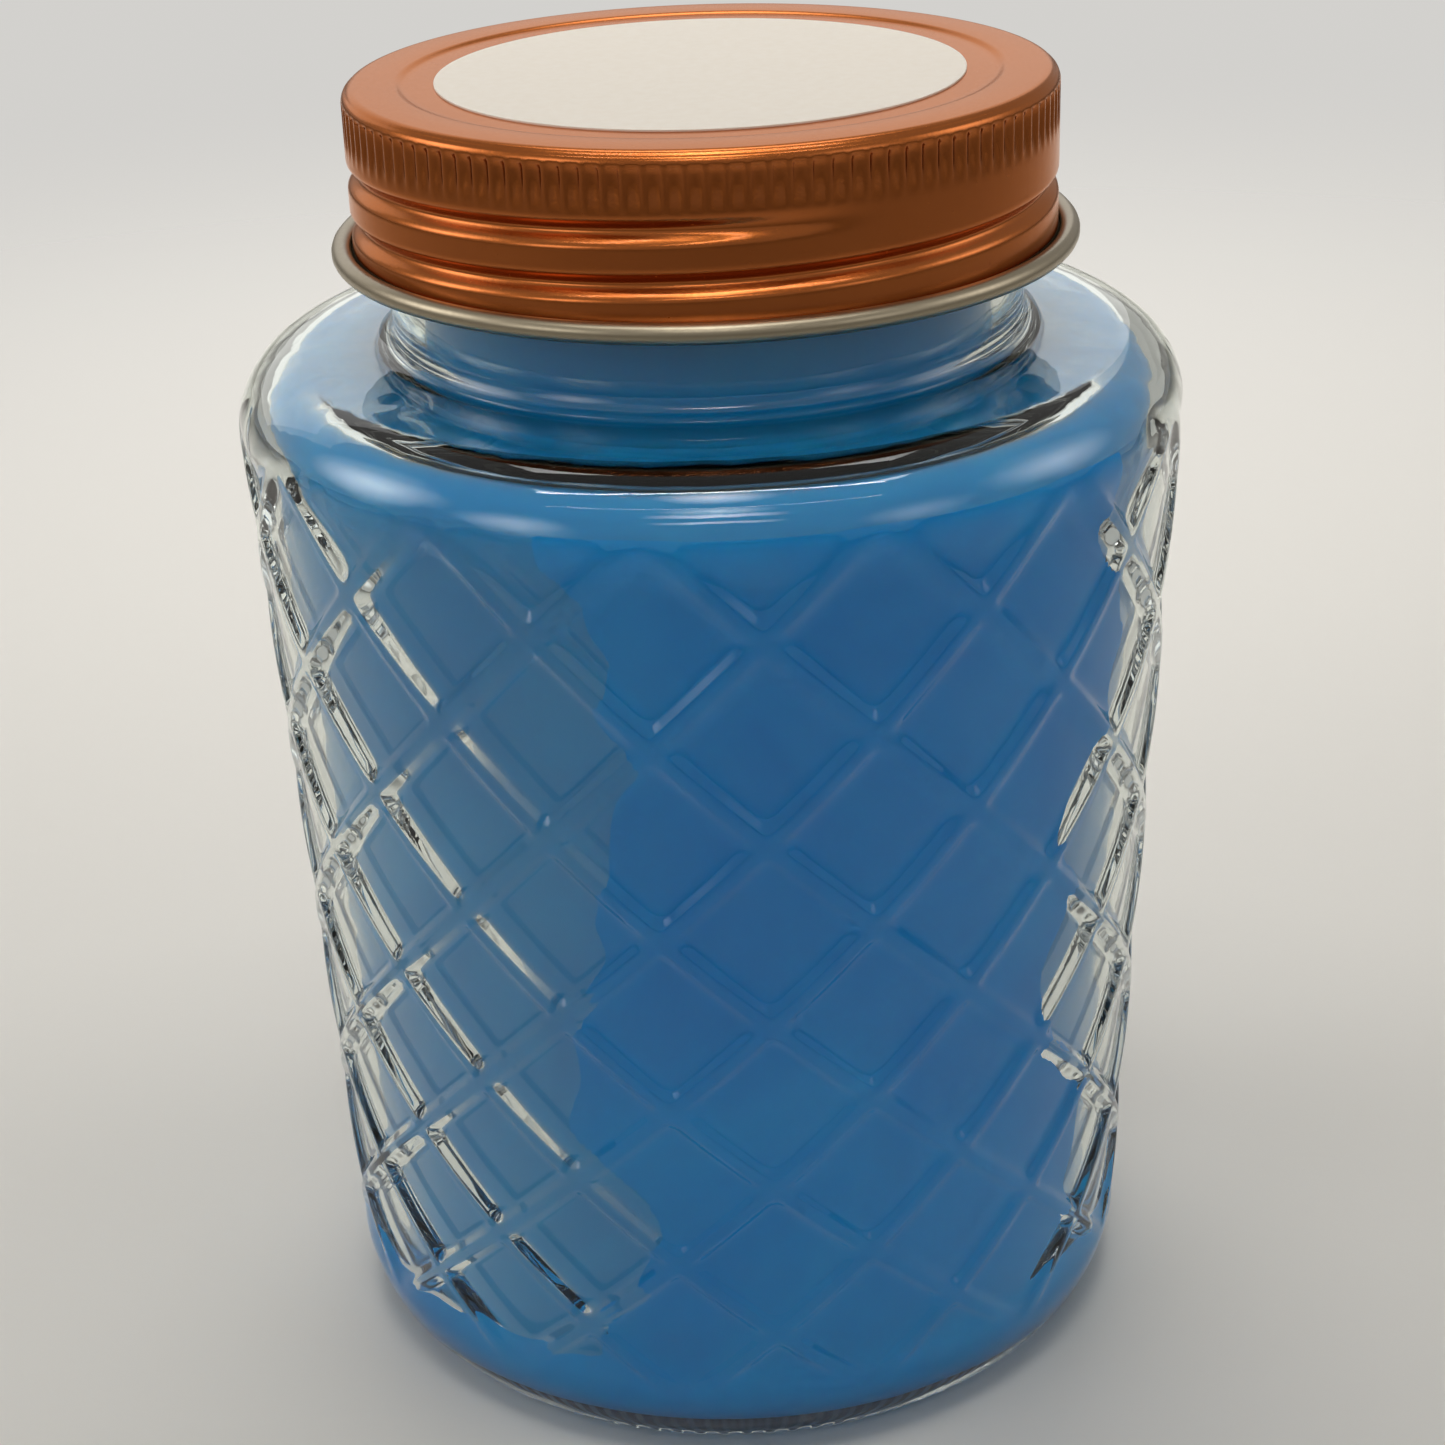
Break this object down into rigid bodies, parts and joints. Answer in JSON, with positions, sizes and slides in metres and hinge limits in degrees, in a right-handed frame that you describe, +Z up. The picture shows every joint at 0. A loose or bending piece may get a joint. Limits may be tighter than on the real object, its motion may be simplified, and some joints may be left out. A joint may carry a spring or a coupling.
{
  "type": "jar candle with screw lid",
  "caption": "Mason-style glass candle jar with a raised diamond lattice, blue wax, braided wicks and a fluted metal screw lid that winds off its thread.",
  "frame": {"origin": "centre of the jar's standing ring, in the plane of the table", "axes": "+Z up along the jar's axis; -Y is the front, towards the viewer; +X is to the viewer's right"},
  "size_m": [0.0994, 0.0994, 0.141],
  "materials": {
    "pressed_glass": "clear pressed soda-lime glass",
    "candle_wax": "dyed soft candle wax",
    "cotton_wick": "braided cotton dipped in wax",
    "tinned_clip": "stamped tinplate",
    "clip_foam": "adhesive foam disc",
    "copper_lacquer": "satin copper lacquer on tinplate",
    "liner_foam": "polyethylene foam",
    "label_paper": "coated paper"
  },
  "bodies": {
    "jar": {"glass_jar": "pressed_glass", "wax_fill": "candle_wax", "wick_left": "cotton_wick", "wick_right": "cotton_wick", "wick_clip_left": "tinned_clip", "wick_clip_right": "tinned_clip", "wick_sticker_left": "clip_foam", "wick_sticker_right": "clip_foam"},
    "liner": {"lid_liner": "liner_foam"},
    "lid": {"lid_shell": "copper_lacquer", "lid_label": "label_paper"}
  },
  "joints": [
    {"name": "lid_lift", "type": "slide", "parent": "jar", "child": "liner", "axis": [0, 0, 1], "range_m": [0, 0.02033]},
    {"name": "lid_turn", "type": "hinge", "parent": "liner", "child": "lid", "pos_m": [0, 0, 0.13], "axis": [0, 0, 1], "range_deg": [0, 1440]}
  ],
  "couplings": [
    {"joint": "lid_lift", "follows": "lid_turn", "m_per_rad": 0.00080851}
  ]
}
